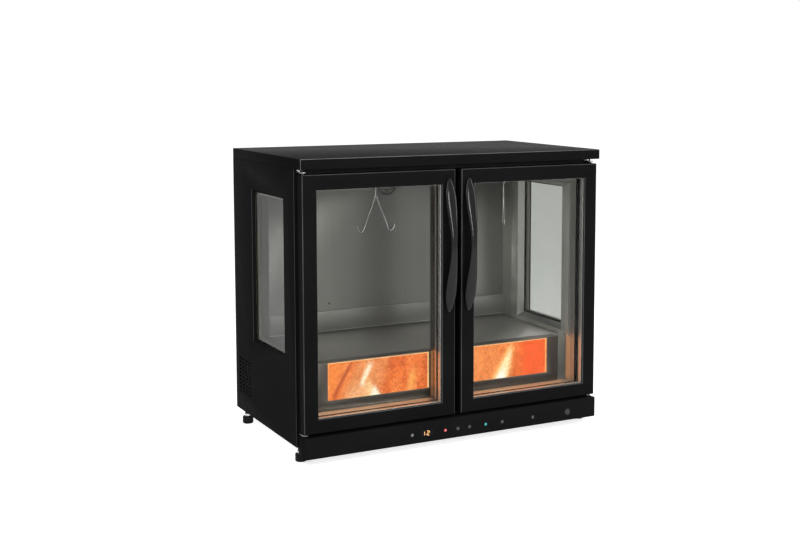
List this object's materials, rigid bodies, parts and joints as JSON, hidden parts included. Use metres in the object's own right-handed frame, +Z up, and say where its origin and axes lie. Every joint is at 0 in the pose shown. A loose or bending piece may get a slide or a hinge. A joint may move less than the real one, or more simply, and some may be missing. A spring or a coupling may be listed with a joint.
{
  "type": "dry aging cabinet",
  "caption": "Under-counter glass-fronted meat dry aging cabinet with hinged doors, side windows, hanging rail, backlit salt wall and rear cooling unit.",
  "frame": {"origin": "on the floor, under the middle of the bounding box", "axes": "+Z up, +X to the right as seen from the doors, the doors face -Y"},
  "size_m": [0.9, 0.5431, 0.786],
  "materials": {
    "black_painted_steel": "satin black powder coat",
    "black_door_frame": "satin black powder coat",
    "liner_steel": "brushed stainless sheet",
    "stainless_wire": "polished stainless bar and wire",
    "zinc_plated_steel": "bright zinc plate",
    "galvanised_sheet": "galvanised sheet",
    "coil_aluminium": "bare fins",
    "foam": "foamed insulation",
    "thermal_break": "grey moulded plastic",
    "rubber_feet": "matt",
    "door_seal": "matt, soft",
    "gloss_black_plastic": "high gloss",
    "black_plastic": "moulded, fine grain",
    "insulating_glass": "clear, dark edge",
    "salt": "translucent orange, pale veins",
    "lamp_diffuser": "warm white diffuser",
    "circuit_board": "solder mask",
    "display_lens": "smoked amber",
    "indicator_lens": "translucent",
    "key_cap": "satin",
    "compressor_paint": "satin black"
  },
  "bodies": {
    "cabinet": {"worktop": "black_painted_steel", "left_side_panel": "black_painted_steel", "right_side_panel": "black_painted_steel", "rear_panel": "black_painted_steel", "control_strip": "black_painted_steel", "base_pan": "galvanised_sheet", "condenser_fan_mount": "galvanised_sheet", "insulation": "foam", "front_frame": "thermal_break", "drip_tray": "thermal_break", "front_left_foot": "rubber_feet", "rear_left_foot": "rubber_feet", "front_right_foot": "rubber_feet", "rear_right_foot": "rubber_feet", "power_inlet": "black_plastic", "evaporator_fan_motor": "black_plastic", "left_lower_hinge_plate": "zinc_plated_steel", "right_lower_hinge_plate": "zinc_plated_steel", "left_upper_hinge_plate": "zinc_plated_steel", "right_upper_hinge_plate": "zinc_plated_steel", "left_liner": "liner_steel", "right_liner": "liner_steel", "back_liner": "liner_steel", "ceiling_liner": "liner_steel", "step_liner": "liner_steel", "duct_cover": "liner_steel", "left_window_surround": "liner_steel", "right_window_surround": "liner_steel", "salt_frame": "liner_steel", "left_window_glass": "insulating_glass", "right_window_glass": "insulating_glass", "left_salt_slab": "salt", "right_salt_slab": "salt", "salt_lamp": "lamp_diffuser", "ceiling_lamp": "lamp_diffuser", "hanging_rail": "stainless_wire", "evaporator": "coil_aluminium", "condenser": "coil_aluminium", "compressor": "compressor_paint", "control_board": "circuit_board", "display_window": "display_lens", "indicator_light_guide": "indicator_lens"},
    "left_door": {"left_door_frame": "black_door_frame", "left_door_glass": "insulating_glass", "left_door_gasket": "door_seal", "left_door_handle": "gloss_black_plastic"},
    "right_door": {"right_door_frame": "black_door_frame", "right_door_glass": "insulating_glass", "right_door_gasket": "door_seal", "right_door_handle": "gloss_black_plastic"},
    "left_hook": {"left_hook": "stainless_wire"},
    "right_hook": {"right_hook": "stainless_wire"},
    "evaporator_fan_wheel": {"evaporator_fan_wheel": "black_plastic"},
    "condenser_fan_wheel": {"condenser_fan_wheel": "black_plastic"},
    "power_button": {"power_button": "key_cap"},
    "light_key": {"light_key": "key_cap"},
    "down_key": {"down_key": "key_cap"},
    "up_key": {"up_key": "key_cap"},
    "set_key": {"set_key": "key_cap"},
    "humidity_key": {"humidity_key": "key_cap"}
  },
  "joints": [
    {"name": "right_door_hinge", "type": "hinge", "parent": "cabinet", "child": "right_door", "pos_m": [0.4342, -0.21535, 0], "axis": [0, 0, 1], "range_deg": [0, 105]},
    {"name": "left_door_hinge", "type": "hinge", "parent": "cabinet", "child": "left_door", "pos_m": [-0.4342, -0.21535, 0], "axis": [0, 0, -1], "range_deg": [0, 105]},
    {"name": "left_hook_swing", "type": "hinge", "parent": "cabinet", "child": "left_hook", "pos_m": [-0.134, -0.00035, 0.69], "axis": [1, 0, 0], "range_deg": [-40, 40]},
    {"name": "right_hook_swing", "type": "hinge", "parent": "cabinet", "child": "right_hook", "pos_m": [0.276, -0.00035, 0.69], "axis": [1, 0, 0], "range_deg": [-40, 40]},
    {"name": "evaporator_fan_spin", "type": "hinge", "parent": "cabinet", "child": "evaporator_fan_wheel", "pos_m": [0, 0.22555, 0.67], "axis": [0, 1, 0], "continuous": true},
    {"name": "condenser_fan_spin", "type": "hinge", "parent": "cabinet", "child": "condenser_fan_wheel", "pos_m": [-0.367, 0.18365, 0.111], "axis": [1, 0, 0], "continuous": true},
    {"name": "power_button_press", "type": "slide", "parent": "cabinet", "child": "power_button", "axis": [0, 1, 0], "range_m": [0, 0.0015], "stiffness_N_per_m": 500},
    {"name": "light_key_press", "type": "slide", "parent": "cabinet", "child": "light_key", "axis": [0, 1, 0], "range_m": [0, 0.001], "stiffness_N_per_m": 400},
    {"name": "down_key_press", "type": "slide", "parent": "cabinet", "child": "down_key", "axis": [0, 1, 0], "range_m": [0, 0.001], "stiffness_N_per_m": 400},
    {"name": "up_key_press", "type": "slide", "parent": "cabinet", "child": "up_key", "axis": [0, 1, 0], "range_m": [0, 0.001], "stiffness_N_per_m": 400},
    {"name": "set_key_press", "type": "slide", "parent": "cabinet", "child": "set_key", "axis": [0, 1, 0], "range_m": [0, 0.001], "stiffness_N_per_m": 400},
    {"name": "humidity_key_press", "type": "slide", "parent": "cabinet", "child": "humidity_key", "axis": [0, 1, 0], "range_m": [0, 0.001], "stiffness_N_per_m": 400}
  ]
}
